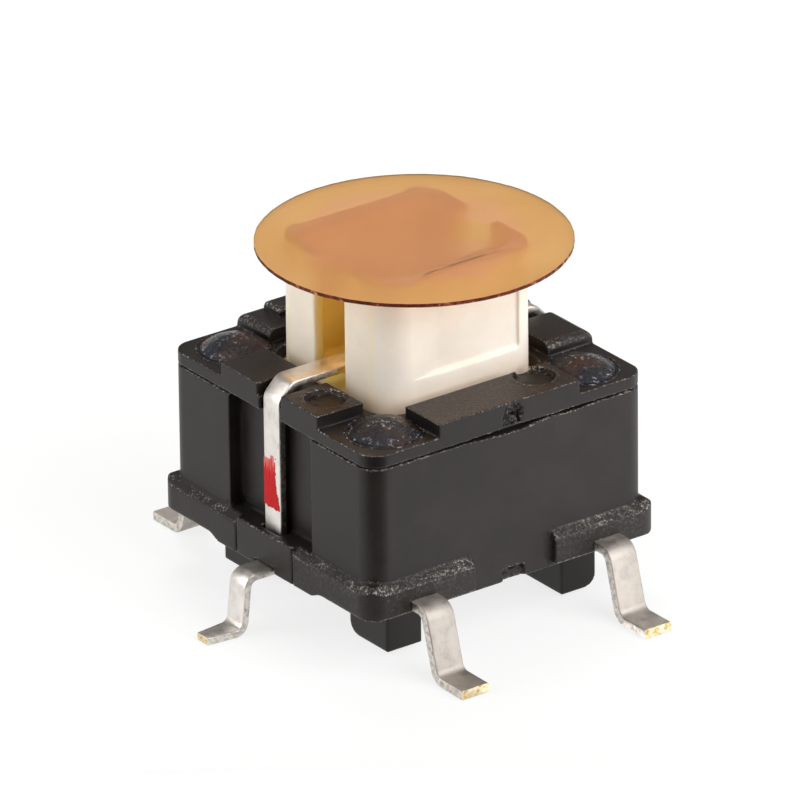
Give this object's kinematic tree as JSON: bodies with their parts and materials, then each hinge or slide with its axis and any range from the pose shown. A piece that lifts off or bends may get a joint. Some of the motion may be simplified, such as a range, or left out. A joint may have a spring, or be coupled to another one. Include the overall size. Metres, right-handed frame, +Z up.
{
  "type": "tactile push button switch",
  "caption": "Square surface-mount push-button switch with a black two-part housing, a hollow white stem round a lamp, gull-wing solder feet and an amber pick-up film.",
  "frame": {"origin": "middle of the body on the board plane, under the solder feet", "axes": "+Z up along the stem's travel, X along the two lamp straps, Y along the switch terminals"},
  "size_m": [0.015, 0.0154, 0.011],
  "materials": {
    "base_plastic": "satin",
    "cover_plastic": "fine spark-eroded",
    "stem_plastic": "translucent, smooth",
    "amber_film": "clear amber film",
    "spring_steel": "rolled",
    "plated_brass": "tin plated",
    "lamp_resin": "clear cast",
    "chip": "crystal",
    "strap_metal": "tin plated",
    "mark_paint": "brushed-on paint"
  },
  "bodies": {
    "housing": {"base": "base_plastic", "cover": "cover_plastic", "contact_dome": "spring_steel", "centre_frame": "plated_brass", "outer_frame": "plated_brass", "lamp_body": "lamp_resin", "lamp_chip": "chip", "lamp_strap_left": "strap_metal", "lamp_strap_right": "strap_metal", "polarity_mark": "mark_paint"},
    "plunger": {"stem": "stem_plastic", "pickup_film": "amber_film"}
  },
  "joints": [
    {"name": "stem_press", "type": "slide", "parent": "housing", "child": "plunger", "axis": [0, 0, -1], "range_m": [0, 0.0003], "stiffness_N_per_m": 5500, "deforming": ["contact_dome"]}
  ]
}
